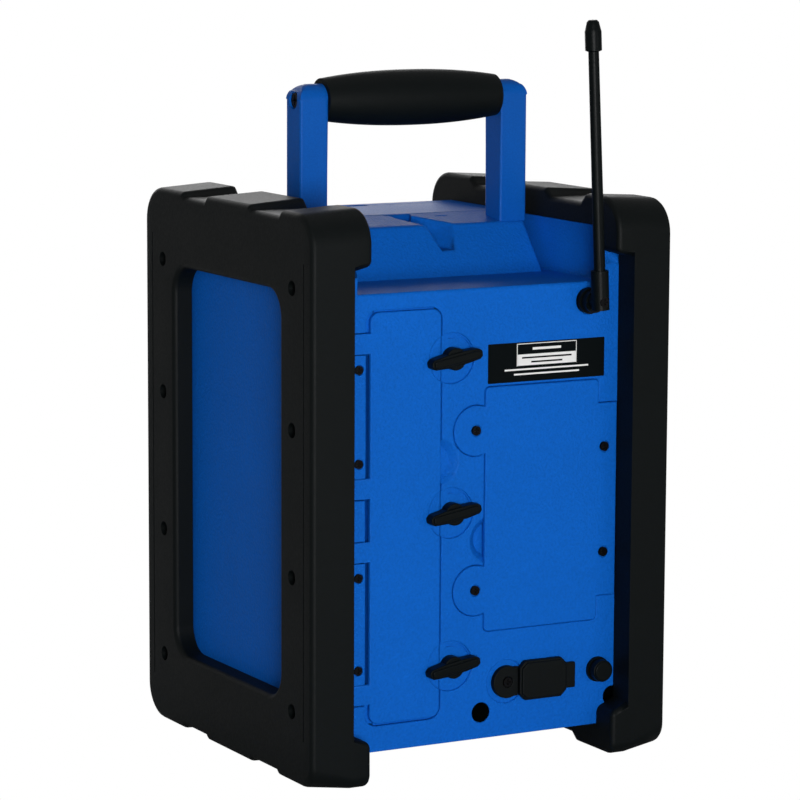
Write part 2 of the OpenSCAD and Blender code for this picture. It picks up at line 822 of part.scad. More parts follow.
// a trapezoid notch across the bumper: y range at its floor, and its depth
module notch(y0, y1, depth, z, up) {
    along_x(cheek_x - 1, bumper_x + 1)
        polygon([[y0, z - up * depth], [y1, z - up * depth], [y1 + ridge_slope * 1.1, z + up],
                 [y0 - ridge_slope * 1.1, z + up]]);
}

module bumper_outer() {
    mid_top = bumper_draft * (flange_x - cheek_x) / corner_w;
    difference() {
        union() {
            hull() {
                along_x(cheek_x, cheek_x + eps) bumper_side(0, 0, 0, bumper_r, heel_r);
                along_x(flange_x - eps, flange_x) bumper_side(0, 0, mid_top, bumper_r, heel_r);
            }
            hull() {
                along_x(flange_x - eps, flange_x) bumper_side(0, 0, mid_top, bumper_r, heel_r);
                along_x(bumper_x - eps, bumper_x)
                    bumper_side(side_draft, bumper_draft, bumper_draft, bumper_r, 1.8 * heel_r);
            }
        }
        // the flange is narrower between the corner lugs
        along_y(-bumper_y - 1, bumper_y + 1)
            polygon([[cheek_x - 1, corner_low], [cheek_x, corner_low], [flange_x, corner_low + 5.5],
                     [flange_x, radio_h - corner_high - 3], [cheek_x, radio_h - corner_high],
                     [cheek_x - 1, radio_h - corner_high]]);
    }
}

module bumper() {
    color(black) difference() {
        union() {
            difference() {
                bumper_outer();
                bumper_hollow();
            }
            intersection() {
                bumper_outer();
                union() {
                    // screw bosses and web ribs
                    for (z = screw_rows, s = [-1, 1]) translate([0, s * bumper_screw_y, z])
                        disc_x(bumper_hole_r + 3, case_x + snug, bumper_x);
                    for (y = rib_ys, s = [-1, 1]) translate([0, s * y, 0]) {
                        box(cheek_x + 2, bumper_x, -rib_t / 2, rib_t / 2, 0, foot_t);
                        box(cheek_x + 2, bumper_x, -rib_t / 2, rib_t / 2, radio_h - cap_t, radio_h);
                    }
                }
            }
        }
        // room for the case
        box(0, case_x + snug, -case_y - snug, case_y + snug, foot_t, radio_h - cap_t);
        // side window
        translate([0, 0, window_z]) along_x(case_x - 5, bumper_x + 1)
            round_rect(window_w, window_h, window_r);
        // ridges on top and pads below
        for (p = notch_tops) notch(p[0], p[1], notch_top, radio_h, 1);
        for (p = notch_feet) notch(p[0], p[1], notch_foot, 0, -1);
        // line down each edge of the outer face
        for (s = [-1, 1])
            box(bumper_x - 0.8, bumper_x + 1, s * line_y - 0.5, s * line_y + 0.5, 30, radio_h - 31);
        // screw recesses
        for (z = screw_rows, s = [-1, 1]) translate([0, s * bumper_screw_y, z]) {
            disc_x(bumper_hole_r, bumper_x - bumper_hole_t, bumper_x + 1);
            disc_x(2.1, case_x, bumper_x);
        }
    }
}

// what the moulding leaves out behind its wall
module bumper_hollow() {
    deep = bumper_wall;
    x0 = cheek_x + deep;
    x1 = bumper_x - deep;
    top = radio_h - bumper_draft - notch_top - 2;
    // over and under the case
    box(x0, x1, -bumper_y + 20, bumper_y - 20, radio_h - cap_t - 1, top);
    box(x0, x1, -bumper_y + 20, bumper_y - 20, notch_foot + deep - 0.5, foot_t + 1);
    // behind and before the case, and in the posts beside it
    for (s = [-1, 1]) {
        y0 = s > 0 ? case_y - 1 : -bumper_y + side_draft + deep;
        box(bumper_x - flange_w + deep, x1, y0, y0 + flange_t - side_draft - deep + 0.5,
            corner_low + 6, radio_h - corner_high - 6);
    }
}

module bumper_left() {
    bumper();
}

module bumper_right() {
    mirror([1, 0, 0]) bumper();
}

module bumper_screws() {
    color(steel) for (z = screw_rows, s = [-1, 1]) both_sides()
        translate([bumper_x - bumper_hole_t + 2.2, s * bumper_screw_y, z]) rotate([0, 0, -90])
            screw_y(4, 2.2, 1.9, 18);
}

module case_screws() {
    color(steel) for (p = case_screw_at) translate([p[0], case_head_y + 2.4, p[1]])
        screw_y(4, 2.4, 1.9, 50);
}

// ---------- back cover and label ----------

module cover_outline(grow) {
    translate([cover_xm, mid_z]) round_rect(cover_w + 2 * grow, cover_h + 2 * grow, 3 + grow);
    translate([cover_x1 - cover_wing / 2 + 4, mid_z])
        round_rect(cover_wing + 8 + 2 * grow, cover_wing_h + 2 * grow, 1 + grow);
    for (s = [-1, 1]) translate([lobe_x, mid_z + s * lobe_z]) circle(lobe_r + grow);
}

module cover_screw_places() {
    for (s = [-1, 1]) {
        at_xz(lobe_x, mid_z + s * lobe_z) children();
        at_xz(cover_screw_x, mid_z + s * cover_screw_z) children();
    }
}

module service_cover() {
    y1 = case_y + cover_proud;
    color(blue) difference() {
        along_y(y1 - cover_t, y1) cover_outline(0);
        cover_screw_places() {
            disc_y(3.4, y1 - 1.7, y1 + 1);
            disc_y(1.7, y1 - 10, y1);
        }
    }
}

module service_cover_screws() {
    color(steel) translate([0, case_y + cover_proud - 0.1, 0]) cover_screw_places()
        screw_y(2.9, 1.6, 1.5, 7.4);
}

module label_plate() {
    color(black) at_xz(cover_xm - 2.6, label_z) along_y(case_y, case_y + label_t)
        round_rect(label_w, label_h, 0.6);
}

// ---------- battery door ----------

module battery_door() {
    color(blue) difference() {
        union() {
            difference() {
                at_xz(bay_x, mid_z) along_y(case_y - door_t + snug, case_y)
                    round_rect(door_w, door_h, door_r);
                lock_dish();
            }
            for (dz = tab_zs) at_xz(0, mid_z + dz) {
                box(door_x1 - 6, hinge_x, case_y - door_t + snug, case_y, -tab_h / 2, tab_h / 2);
                translate([hinge_x, hinge_y, -tab_h / 2]) cylinder(r = knuckle_r, h = tab_h);
                box(hinge_x - knuckle_r, hinge_x, hinge_y, case_y, -tab_h / 2, tab_h / 2);
            }
        }
        hinge_pin_shape(hinge_pin_r + fit, 1);
    }
}

module door_seal() {
    w = door_w - 6.6;
    h = door_h - 5;
    y1 = case_y - door_t + snug;
    color(black) at_xz(bay_x, mid_z) along_y(y1 - seal_t, y1) difference() {
        round_rect(w, h, 2.5);
        round_rect(w - 2 * seal_w, h - 2 * seal_w, 1.5);
    }
}

module door_hinge_pin() {
    color(steel) hinge_pin_shape(hinge_pin_r, 0);
}

module hinge_plate(s) {
    color(blue) at_xz(0, mid_z + s * plate_mid) difference() {
        box(plate_x0, plate_x1, inner_y, case_y, -plate_h / 2, plate_h / 2);
        for (t = [-1, 1]) at_xz(plate_screw_x, t * plate_screw_pitch / 2) {
            disc_y(3.1, case_y - 1.7, case_y + 1);
            disc_y(1.4, inner_y - 1, case_y);
        }
        translate([0, 0, -mid_z - s * plate_mid]) hinge_pin_shape(hinge_pin_r + snug, 0);
    }
}

module hinge_plate_upper() {
    hinge_plate(1);
}

module hinge_plate_lower() {
    hinge_plate(-1);
}

module hinge_plate_screws() {
    color(steel) for (s = [-1, 1], t = [-1, 1])
        translate([plate_screw_x, case_y - 0.1, mid_z + s * plate_mid + t * plate_screw_pitch / 2])
            screw_y(2.7, 1.6, 1.2, 7.4);
}

// ---------- twist locks ----------

module twist_lock(dz) {
    e = wing_t / 2 - 0.8;
    color(black) translate([lock_x, case_y, mid_z + dz]) {
        disc_y(hub_r, -dish_t + snug, wing_out - 2.4);
        // the wing, a bar with cut corners and a ridge along it
        rotate([0, wing_tilt, 0]) {
            along_y(snug, wing_out - 1) polygon([
                [-wing_len / 2, -e + 1.6], [-wing_len / 2 + 2, -e], [-hub_r, -wing_t / 2],
                [hub_r, -wing_t / 2], [wing_len / 2 - 2, -e], [wing_len / 2, -e + 1.6],
                [wing_len / 2, e - 1.6], [wing_len / 2 - 2, e], [hub_r, wing_t / 2],
                [-hub_r, wing_t / 2], [-wing_len / 2 + 2, e], [-wing_len / 2, e - 1.6]]);
            along_y(wing_out - 1.1, wing_out)
                round_rect(wing_len - 3, wing_t - 3.4, 1.5);
        }
        // shaft with the clip's neck and end
        disc_y(lock_shaft_r, -wall - 4.9, -dish_t + snug + eps);
        disc_y(lock_shaft_r - 1, -wall - 6.9, -wall - 4.8);
        disc_y(lock_shaft_r, -wall - 8.4, -wall - 6.8);
    }
}

module twist_lock_top() {
    twist_lock(lock_pitch);
}

module twist_lock_middle() {
    twist_lock(0);
}

module twist_lock_bottom() {
    twist_lock(-lock_pitch);
}

// open clips in the shaft necks, behind the wall
module lock_clips() {
    color(steel) for (dz = lock_zs) translate([lock_x, inner_y - 5 - snug, mid_z + dz]) difference() {
        disc_y(lock_shaft_r + 3, -1.2, 0);
        disc_y(lock_shaft_r - 1 + fit, -2, 1);
        box(-lock_shaft_r - 4, 0, -2, 1, -lock_shaft_r + 1.6, lock_shaft_r - 1.6);
    }
}

// ---------- batteries ----------

module battery_cells() {
    color([0.75, 0.6, 0.2]) for (i = [0:3])
        translate([bay_x, cell_y, mid_z - 2 * cell_len + cell_lift + i * cell_len]) {
            cylinder(r = cell_d / 2, h = cell_len - 2);
            cylinder(r = 4.6, h = cell_len - 0.02);
        }
}

// plate at the upper end, coil spring drawn as its sleeve at the lower end
module battery_contacts() {
    top = mid_z + bay_len / 2;
    low = mid_z - bay_len / 2;
    cell_low = mid_z - 2 * cell_len + cell_lift;
    cell_top = mid_z + 2 * cell_len + cell_lift;
    color([0.8, 0.65, 0.3]) translate([bay_x, cell_y, 0]) {
        box(-10, 10, -10, 10, top - 0.8, top);
        translate([0, 0, cell_top]) cylinder(r = 5, h = top - cell_top);
        box(-10, 10, -10, 10, low, low + 0.8);
        translate([0, 0, low]) difference() {
            cylinder(r = 8, h = cell_low - low - 0.02);
            cylinder(r = 6.6, h = 20);
        }
    }
}

// ---------- power socket and fuse ----------

module socket_cap_tab() {
    color(black) difference() {
        union() {
            difference() {
                at_xz(cap_screw_x, socket_z) disc_y(cap_tab_r, case_y - 1.2, case_y + 2.4);
                box(flap_x1 - 10, flap_x1 + snug, case_y, case_y + 3, socket_z - 15, socket_z + 15);
            }
            // strap towards the flap
            box(flap_x1 + snug, cap_screw_x, case_y + snug, case_y + 2, socket_z - 9, socket_z + 9);
        }
        at_xz(cap_screw_x, socket_z) {
            disc_y(3.4, case_y + 0.7, case_y + 3);
            disc_y(1.6, case_y - 2, case_y + 3);
        }
    }
}

module flap_outline(w, h, cut) {
    polygon([[-w / 2, -h / 2 + cut], [-w / 2 + cut, -h / 2], [w / 2 - cut, -h / 2],
             [w / 2, -h / 2 + cut], [w / 2, h / 2 - cut], [w / 2 - cut, h / 2],
             [-w / 2 + cut, h / 2], [-w / 2, h / 2 - cut]]);
}

module socket_cap_flap() {
    color(black) at_xz(inlet_x, socket_z) {
        along_y(case_y + snug, case_y + flap_t - 1.2) flap_outline(flap_w, flap_h, 4);
        along_y(case_y + flap_t - 1.3, case_y + flap_t) flap_outline(flap_w - 2.4, flap_h - 2.4, 3.4);
        // pull tab
        box(-flap_w / 2 - 6.9, -flap_w / 2 + 2, case_y + snug, case_y + 3, -8, 8);
    }
}

module socket_cap_screw() {
    color(steel) translate([cap_screw_x, case_y + 2.3, socket_z]) screw_y(2.9, 1.6, 1.4, 8);
}

module power_inlet() {
    color(black) at_xz(inlet_x, socket_z) {
        difference() {
            union() {
                along_y(case_y - inlet_deep, case_y) round_rect(inlet_w, inlet_h, 4);
                along_y(inner_y - 9, inner_y - 6) round_rect(inlet_w + 8, inlet_h + 4, 3);
            }
            along_y(case_y - 15, case_y + 1) round_rect(inlet_w - 4, inlet_h - 3.4, 4.2);
            inlet_pin_bores();
        }
    }
}

module inlet_pin_bores() {
    for (s = [-1, 1]) translate([s * 5.2, 0, 0]) disc_y(1.2 + fit, case_y - inlet_deep - 1, case_y - 14);
}

module inlet_pins() {
    color([0.8, 0.7, 0.4]) at_xz(inlet_x, socket_z) for (s = [-1, 1])
        translate([s * 5.2, 0, 0]) disc_y(1.2, case_y - inlet_deep - 5, case_y - 4);
}

module fuse_holder() {
    color(black) at_xz(fuse_x, fuse_z) difference() {
        union() {
            disc_y(fuse_r, case_y - 36, case_y);
            disc_y(fuse_r + 2.2, case_y, case_y + 2.2);
            disc_y(fuse_r + 2.6, inner_y - 5.4, inner_y - 3);
        }
        disc_y(fuse_r - 1.4, case_y - 34, case_y + 3);
    }
}

module fuse_cap() {
    color(black) at_xz(fuse_x, fuse_z) {
        disc_y(fuse_cap_r, case_y + 2.2 + snug, case_y + fuse_out - 1);
        disc_y(fuse_cap_r - 0.8, case_y + fuse_out - 1.1, case_y + fuse_out);
        difference() {
            disc_y(fuse_r - 1.4 - fit, case_y - 8, case_y + 2.2 + snug + eps);
            disc_y(2.7, case_y - 9, case_y - 4);
        }
    }
}

module fuse_tube() {
    color([0.85, 0.85, 0.8]) at_xz(fuse_x, fuse_z) {
        disc_y(2.5, case_y - 28, case_y - 8.3);
        disc_y(4.1, case_y - 34, case_y - 28);
    }
}

// ---------- antenna ----------

module antenna_base() {
    color(black) at_xz(antenna_x, antenna_z - 0.8) difference() {
        union() {
            disc_y(8, case_y - 1.2, case_y + 3);
            disc_y(6.8, case_y + 2.9, case_y + 14 - sleeve_r - 0.3);
            disc_y(3.2, inner_y - 9, case_y - 1.1);
        }
        translate([0, 0, 0.8]) disc_y(1.9 + fit, case_y - 4, case_y + 20);
    }
}

// screw through the sleeve into the base
module antenna_pivot() {
    color(steel) translate([antenna_x, antenna_y + sleeve_r - 0.2, antenna_z])
        screw_y(3, 1.6, 1.9, 18.4);
}

module antenna_tilt() {
    translate([antenna_x, antenna_y, antenna_z]) rotate([0, antenna_lean, 0]) children();
}

module antenna_sleeve() {
    color(black) antenna_tilt() difference() {
        union() {
            translate([0, 0, -sleeve_low]) cylinder(r = sleeve_r, h = sleeve_low + sleeve_high);
            // flat side against the base
            disc_y(sleeve_r, -sleeve_r, 0);
        }
        disc_y(1.9 + fit, -20, 20);
        disc_y(3 + fit, sleeve_r - 1.8 - snug, 20);
        translate([0, 0, 9]) cylinder(r = whip_r - 0.6 + fit, h = 20);
    }
}

module antenna_whip() {
    top = antenna_len;
    color(black) antenna_tilt() rotate_extrude() polygon([
        [0, 9.05], [whip_r - 0.6, 9.05], [whip_r - 0.6, sleeve_high], [whip_r, sleeve_high],
        [whip_r - 0.25, top - tip_len], [tip_r, top - tip_len + 0.8], [tip_r, top - 7],
        [tip_r - 1.4, top - 1.2], [tip_r - 2.6, top], [0, top]]);
}

// ---------- handle ----------

module handle_arm() {
    color(blue) difference() {
        union() {
            intersection() {
                along_x(post_x - arm_w, post_x) {
                    translate([arm_y0, block_z1 - 1]) square([arm_d, grip_z - block_z1 + 1]);
                    translate([handle_y, grip_z]) circle(arm_d / 2);
                }
                // the outer shoulder is rounded
                along_y(arm_y0 - 1, arm_y1 + 1) union() {
                    translate([post_x - arm_w - 1, block_z1 - 2])
                        square([arm_w + 1, grip_z - block_z1 + 2]);
                    translate([post_x - arm_w - 1, grip_z - 1])
                        square([arm_w + 1 - arm_d / 2, arm_d]);
                    translate([post_x - arm_d / 2, grip_z]) circle(arm_d / 2);
                }
                // the foot follows the falling block
                along_x(0, bumper_x) polygon([[arm_y0, deck_z - block_rise(arm_y0)],
                    [arm_y1, deck_z - block_rise(arm_y1)], [arm_y1, 500], [arm_y0, 500]]);
            }
            arm_tenon(0);
        }
        translate([0, handle_y, grip_z]) {
            disc_x(bar_r + fit, post_x - arm_w - 1, post_x - 9);
            disc_x(2.6, 0, post_x + 1);
            disc_x(5.3, post_x - 4, post_x + 1);
        }
    }
}

// fall of the block's top between the seam and a place y
function block_rise(y) = block_fall * (y - split_y) / (arm_y1 - split_y);

module handle_arm_left() {
    handle_arm();
}

module handle_arm_right() {
    mirror([1, 0, 0]) handle_arm();
}

// barrel outline: radius at a place along the grip, from -1 to 1
function barrel(t) = grip_end_r + (grip_r - grip_end_r) * (1 - pow(abs(t), 2.2));

module handle_grip() {
    half = post_x - arm_w - 0.1;
    steps = 12;
    color(black) translate([0, handle_y, grip_z]) rotate([0, 90, 0]) rotate_extrude()
        polygon(concat([[bar_r + fit, half], [bar_r + fit, -half]],
                       [for (i = [-steps:steps]) [barrel(i / steps), half * i / steps]]));
}

module handle_bar() {
    end = post_x - 9.2;
    color(steel) translate([0, handle_y, grip_z]) difference() {
        disc_x(bar_r, -end, end);
        both_sides() disc_x(2.3 + fit, end - 16, end + 1);
    }
}

module handle_bolts() {
    color(steel) both_sides() translate([post_x - 1, handle_y, grip_z]) rotate([0, 0, -90])
        screw_y(4.6, 3, 2.3, 19);
}

// ---------- speaker ----------

module speaker_grille() {
    y0 = front_y + grille_sink - grille_t;
    y1 = front_y + grille_sink;
    pitch = grille_slot + grille_rib;
    color(black) at_xz(0, speaker_z) difference() {
        union() {
            disc_y(grille_r, y0, y1);
            disc_y(grille_r - 3, y0 - 1.2, y0 + 0.1);
        }
        // concentric slots, bridged by eight spokes
        intersection() {
            union() for (r = [14:pitch:speaker_r - 4]) difference() {
                disc_y(r + grille_slot, y0 - 3, y1 + 1);
                disc_y(r, y0 - 4, y1 + 2);
            }
            union() for (a = [0:45:315]) rotate([0, a, 0])
                along_y(y0 - 3, y1 + 1)
                    polygon([[6, 1.6], [80, 1.6], [80 * cos(45), 80 * sin(45) - 2.3], [8, 4]]);
        }
        disc_y(grille_r - 8, y0 - 3, y0 - 0.6);
    }
}

// pieces of the loudspeaker are drawn from the back of the front wall, radius against depth
module turned() {
    translate([0, front_y + wall + 0.5, speaker_z]) rotate([-90, 0, 0]) rotate_extrude() children();
}

module speaker_basket() {
    t = speaker_flange_t;
    d = basket_depth;
    color([0.3, 0.3, 0.32]) difference() {
        turned() polygon([[seat_r, seat_t], [speaker_r - 2, seat_t], [speaker_r - 2, 0],
            [speaker_flange_r, 0], [speaker_flange_r, t], [speaker_r - 2, t], [speaker_r - 4, 9],
            [40, d + 2], [coil_r + 1.4, d + 2], [coil_r + 1.4, d], [38, d], [seat_r - 1, 8.5],
            [seat_r, 7]]);
        at_xz(0, speaker_z) {
            for (a = [45:90:315]) at_xz(spk_screw_r * cos(a), spk_screw_r * sin(a))
                disc_y(1.7, front_y, front_y + wall + 5);
            // side openings of the basket
            for (a = [0:60:300]) rotate([0, a, 0])
                translate([0, front_y + wall + 17, 52]) cube([26, 12, 34], center = true);
        }
    }
}

module speaker_magnet() {
    d = basket_depth + 2;
    color(steel) turned() {
        polygon([[0, d - 4], [coil_r - 1.6, d - 4], [coil_r - 1.6, d + 12], [coil_r + 1.4, d + 12],
                 [coil_r + 1.4, d], [36, d], [36, d + 5], [40, d + 5], [40, d + 20], [36, d + 20],
                 [36, d + 25], [0, d + 25]]);
    }
}

module speaker_cone() {
    d = basket_depth;
    color([0.12, 0.12, 0.12]) turned() {
        polygon([[0, d - 11], [7, d - 10], [coil_r, d - 7], [cone_r, seat_t], [cone_r, seat_t + 0.9],
                 [coil_r + 0.6, d - 5.8], [coil_r + 0.6, d + 9], [coil_r - 0.4, d + 9],
                 [coil_r - 0.4, d - 6], [7, d - 9], [0, d - 10]]);
    }
}

// roll between the basket's seat and the cone
module speaker_surround() {
    roll = (seat_r - cone_r) / 2;
    mid = (seat_r + cone_r) / 2;
    color(black) turned() difference() {
        union() {
            translate([cone_r - 3, 0]) square([speaker_r - 2.2 - cone_r + 3, seat_t]);
            translate([mid, seat_t - 0.4]) circle(roll - 0.4, $fn = 40);
        }
        translate([mid, seat_t - 0.4]) circle(roll - 1.2, $fn = 40);
        translate([mid - roll, -10]) square([2 * roll, 10]);
    }
}

module speaker_screws() {
    y = front_y + wall + 0.5 + speaker_flange_t + 1.8;
    color(steel) for (a = [45:90:315])
        translate([spk_screw_r * cos(a), y, speaker_z + spk_screw_r * sin(a)]) screw_y(3, 1.8, 1.5, 4.9);
}

// ---------- controls ----------

button_xs = [-1.5, -0.5, 0.5, 1.5] * button_pitch;

module control_panel() {
    color(black) difference() {
        at_xz(0, panel_z) along_y(panel_y0, panel_y0 + panel_t) round_rect(panel_w, panel_h, 9);
        at_xz(0, disp_z) {
            along_y(panel_y0 - 1, panel_y0 + 2)
                round_rect(window_disp_w + 0.4, window_disp_h + 0.4, 3);
            along_y(panel_y0 - 1, panel_y0 + panel_t + 1)
                round_rect(window_disp_w - 4, window_disp_h - 4, 2);
        }
        for (x = [-1, 1]) at_xz(x * knob_pitch / 2, knob_z) {
            disc_y(bush_r + 0.1, panel_y0 - 1, panel_y0 + panel_t + 1);
            difference() {
                disc_y(knob_r + 2.4, panel_y0 - 1, panel_y0 + 0.6);
                disc_y(knob_r + 1.4, panel_y0 - 2, panel_y0 + 2);
            }
        }
        for (x = button_xs) at_xz(x, button_z) along_y(panel_y0 - 1, panel_y0 + panel_t + 1)
            round_rect(button_w + 0.6, button_h + 0.6, 2.3);
    }
}

module display_window() {
    color([0.3, 0.35, 0.35, 0.6]) at_xz(0, disp_z) along_y(panel_y0 + 0.2, panel_y0 + 2)
        round_rect(window_disp_w, window_disp_h, 3);
}

module display_module() {
    color([0.7, 0.75, 0.68]) at_xz(0, disp_z)
        box(-window_disp_w / 2 + 3, window_disp_w / 2 - 3, panel_y0 + panel_t + 0.1, board_y,
            -window_disp_h / 2 + 3, window_disp_h / 2 - 3);
}

module control_board() {
    color([0.1, 0.35, 0.2]) {
        difference() {
            box(-panel_w / 2 + 4, panel_w / 2 - 4, board_y, board_y + board_t,
                panel_z + 2 - panel_h / 2, panel_z - 8 + panel_h / 2);
            for (p = case_screw_at) at_xz(p[0], p[1]) disc_y(case_hole_r + 1.2, board_y - 1, board_y + 5);
        }
        // encoders with their bushes, and the key switches
        for (x = [-1, 1]) at_xz(x * knob_pitch / 2, knob_z) {
            difference() {
                union() {
                    disc_y(7, board_y - 7, board_y + 0.1);
                    disc_y(bush_r, panel_y0 - 5, board_y - 6.9);
                }
                disc_y(spindle_r + fit, panel_y0 - 6, board_y - 1);
            }
        }
        for (x = button_xs) at_xz(x, button_z)
            box(-3, 3, board_y - key_t, board_y + 0.1, -3, 3);
    }
}

module knob(x) {
    y1 = panel_y0 - 0.6;
    y0 = y1 - 14;
    color(black) at_xz(x, knob_z) difference() {
        union() {
            disc_y(knob_r, y1 - 3, y1);
            disc_y(knob_r - 1.5, y0 + 1, y1 - 2.9);
            disc_y(knob_r - 2.5, y0, y0 + 1.1);
        }
        // finger flutes and the pointer line
        for (a = [15:30:345]) rotate([0, a, 0])
            translate([0, 0, knob_r + 0.2]) disc_y(2.4, y0 - 1, y1 - 3.6);
        box(-0.7, 0.7, y0 - 1, y0 + 0.6, knob_r * 0.35, knob_r);
        // bore over the encoder's bush
        disc_y(bush_r + snug, y0 + 8, y1 + 1);
    }
    // spindle inside the bush
    color(black) at_xz(x, knob_z) disc_y(spindle_r, y0 + 7, board_y - 2);
}

module volume_knob() {
    knob(-knob_pitch / 2);
}

module tuning_knob() {
    knob(knob_pitch / 2);
}

module button(i) {
    color([0.75, 0.76, 0.76]) at_xz(button_xs[i], button_z) {
        along_y(panel_y0 - 2, panel_y0 + panel_t + 0.5) round_rect(button_w, button_h, 2);
        // rim that stops it behind the panel, and the plunger
        along_y(panel_y0 + panel_t + snug, panel_y0 + panel_t + 1.3)
            round_rect(button_w + 3, button_h + 3, 2);
        disc_y(2.2, panel_y0 + panel_t + 1.2, board_y - key_t - button_travel - snug);
    }
}

module power_button() {
    button(0);
}

module band_button() {
    button(1);
}

module memory_button() {
    button(2);
}

module scan_button() {
    button(3);
}

// ---------- inside ----------

board_x0 = service_x1 - 3;
board_x1 = service_x0 + 3;
main_y = inner_y - 16;

module board_posts() {
    for (x = [board_x0 + 1, board_x1 - 1], z = [-1, 1])
        at_xz(x, mid_z + z * (service_h / 2 - 8)) disc_y(3.6, main_y, inner_y + 1);
}

module main_board() {
    color([0.1, 0.4, 0.2]) {
        box(board_x0 - 2, board_x1 + 2, main_y - board_t, main_y, mid_z - service_h / 2,
            mid_z + service_h / 2);
        // capacitors and a heat sink
        for (z = [-20, 6]) translate([board_x1 - 16, main_y, mid_z + z]) rotate([-90, 0, 0])
            translate([0, 0, -0.1]) cylinder(r = 8, h = 13);
        box(board_x0 + 14, board_x0 + 38, main_y - 0.1, main_y + 11, mid_z - 30, mid_z + 24);
    }
}

module transformer() {
    z0 = case_z0 + wall;
    color(steel) {
        box(-78, -22, 12, 46, z0, z0 + 46);
        box(-88, -12, 14, 44, z0, z0 + 2);
        box(-66, -34, 4, 54, z0 + 10, z0 + 36);
    }
}

front_case();
back_case();
case_seal();
bumper_left();
bumper_right();
bumper_screws();
case_screws();
label_plate();
service_cover();
service_cover_screws();
battery_door();
door_seal();
door_hinge_pin();
hinge_plate_upper();
hinge_plate_lower();
hinge_plate_screws();
twist_lock_top();
twist_lock_middle();
twist_lock_bottom();
lock_clips();
battery_cells();
battery_contacts();
socket_cap_tab();
socket_cap_flap();
socket_cap_screw();
power_inlet();
inlet_pins();
fuse_holder();
fuse_cap();
fuse_tube();
antenna_base();
antenna_pivot();
antenna_sleeve();
antenna_whip();
handle_arm_left();
handle_arm_right();
handle_grip();
handle_bar();
handle_bolts();
compartment_tub();
compartment_lid();
lid_hinge_pins();
speaker_grille();
speaker_basket();
speaker_magnet();
speaker_cone();
speaker_surround();
speaker_screws();
control_panel();
display_window();
display_module();
control_board();
volume_knob();
tuning_knob();
power_button();
band_button();
memory_button();
scan_button();
main_board();
transformer();
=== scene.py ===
import json
from math import cos, hypot, radians, sin

import bmesh
import bpy
from mathutils import Matrix, Vector


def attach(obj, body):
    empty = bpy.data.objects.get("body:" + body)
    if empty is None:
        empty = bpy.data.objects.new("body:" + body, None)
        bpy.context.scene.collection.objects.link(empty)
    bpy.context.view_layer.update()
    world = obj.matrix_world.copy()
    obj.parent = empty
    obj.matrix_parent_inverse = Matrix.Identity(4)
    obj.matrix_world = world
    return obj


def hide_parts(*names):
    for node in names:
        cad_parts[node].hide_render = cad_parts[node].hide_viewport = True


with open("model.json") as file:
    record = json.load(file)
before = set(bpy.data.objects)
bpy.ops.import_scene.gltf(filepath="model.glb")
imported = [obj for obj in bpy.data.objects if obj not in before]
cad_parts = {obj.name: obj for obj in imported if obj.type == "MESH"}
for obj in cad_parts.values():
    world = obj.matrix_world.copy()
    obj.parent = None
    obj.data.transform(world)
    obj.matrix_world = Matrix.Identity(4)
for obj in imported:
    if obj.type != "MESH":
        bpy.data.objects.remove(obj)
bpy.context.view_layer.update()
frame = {"nodes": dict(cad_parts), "record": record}
mm = 0.001
bodyOf = {node: body for body, held in frame["record"]["behaviour"]["bodies"].items() for node in held}
slotOf = {part["node"]: part["material_slot"] for part in frame["record"]["subparts"]}
print("frame loaded,", len(frame["nodes"]), "nodes")

cameraSettings = {
    "place": (1.0434, 1.90276, 0.53512),
    "azimuth": 151.31,       # degrees, 0 looks along +Y
    "elevation": 8.46,
    "roll": 0.267,
    "lens": 157.74,
    "sensor": 36,
    "sight": 40,             # metres
}


def placeCamera(s):
    turn = radians(s["azimuth"])
    tilt = radians(s["elevation"])
    roll = radians(s["roll"])
    back = Vector((sin(turn) * cos(tilt), -cos(turn) * cos(tilt), sin(tilt)))
    right = (-back).cross(Vector((0, 0, 1))).normalized()
    up = right.cross(-back)
    across = cos(roll) * right + sin(roll) * up
    above = cos(roll) * up - sin(roll) * right
    data = bpy.data.cameras.new("camera")
    data.lens = s["lens"]
    data.sensor_width = s["sensor"]
    data.clip_end = s["sight"]
    camera = bpy.data.objects.new("camera", data)
    turned = Matrix((across, above, back)).transposed().to_4x4()
    camera.matrix_world = Matrix.Translation(Vector(s["place"])) @ turned
    bpy.context.collection.objects.link(camera)
    bpy.context.scene.camera = camera


lampSettings = {
    # place, aimed-at point, width, watts
    "key": ((0.88, 2.42, 0.36), (0, 0.05, 0.2), 0.7, 42.5),
    "sheen": ((-1.25, 2.3, 0.3), (0, 0.05, 0.2), 1.0, 6),
    "side": ((2.3, -0.9, 1.0), (0, 0, 0.2), 1.2, 3),
    "front": ((-0.7, -2.6, 0.7), (0, 0, 0.2), 2.0, 38),
    "top": ((0, 0.2, 2.6), (0, 0, 0.3), 1.5, 3),
}


def placeLamps(settings):
    for name, (place, aim, width, watts) in settings.items():
        data = bpy.data.lights.new(name, "AREA")
        data.size = width
        data.energy = watts
        lamp = bpy.data.objects.new(name, data)
        toLamp = Vector(place) - Vector(aim)
        turned = toLamp.to_track_quat("Z", "Y").to_matrix().to_4x4()
        lamp.matrix_world = Matrix.Translation(Vector(place)) @ turned
        bpy.context.collection.objects.link(lamp)


# an output socket that can be added and multiplied
class Wire:
    def __init__(self, paint, socket):
        self.paint = paint
        self.socket = socket

    def join(self, operation, first, second):
        return self.paint.node("Math", {"operation": operation}, {0: first, 1: second})

    def __add__(self, other):
        return self.join("ADD", self, other)

    def __radd__(self, other):
        return self.join("ADD", other, self)

    def __mul__(self, other):
        return self.join("MULTIPLY", self, other)

    def __rmul__(self, other):
        return self.join("MULTIPLY", other, self)


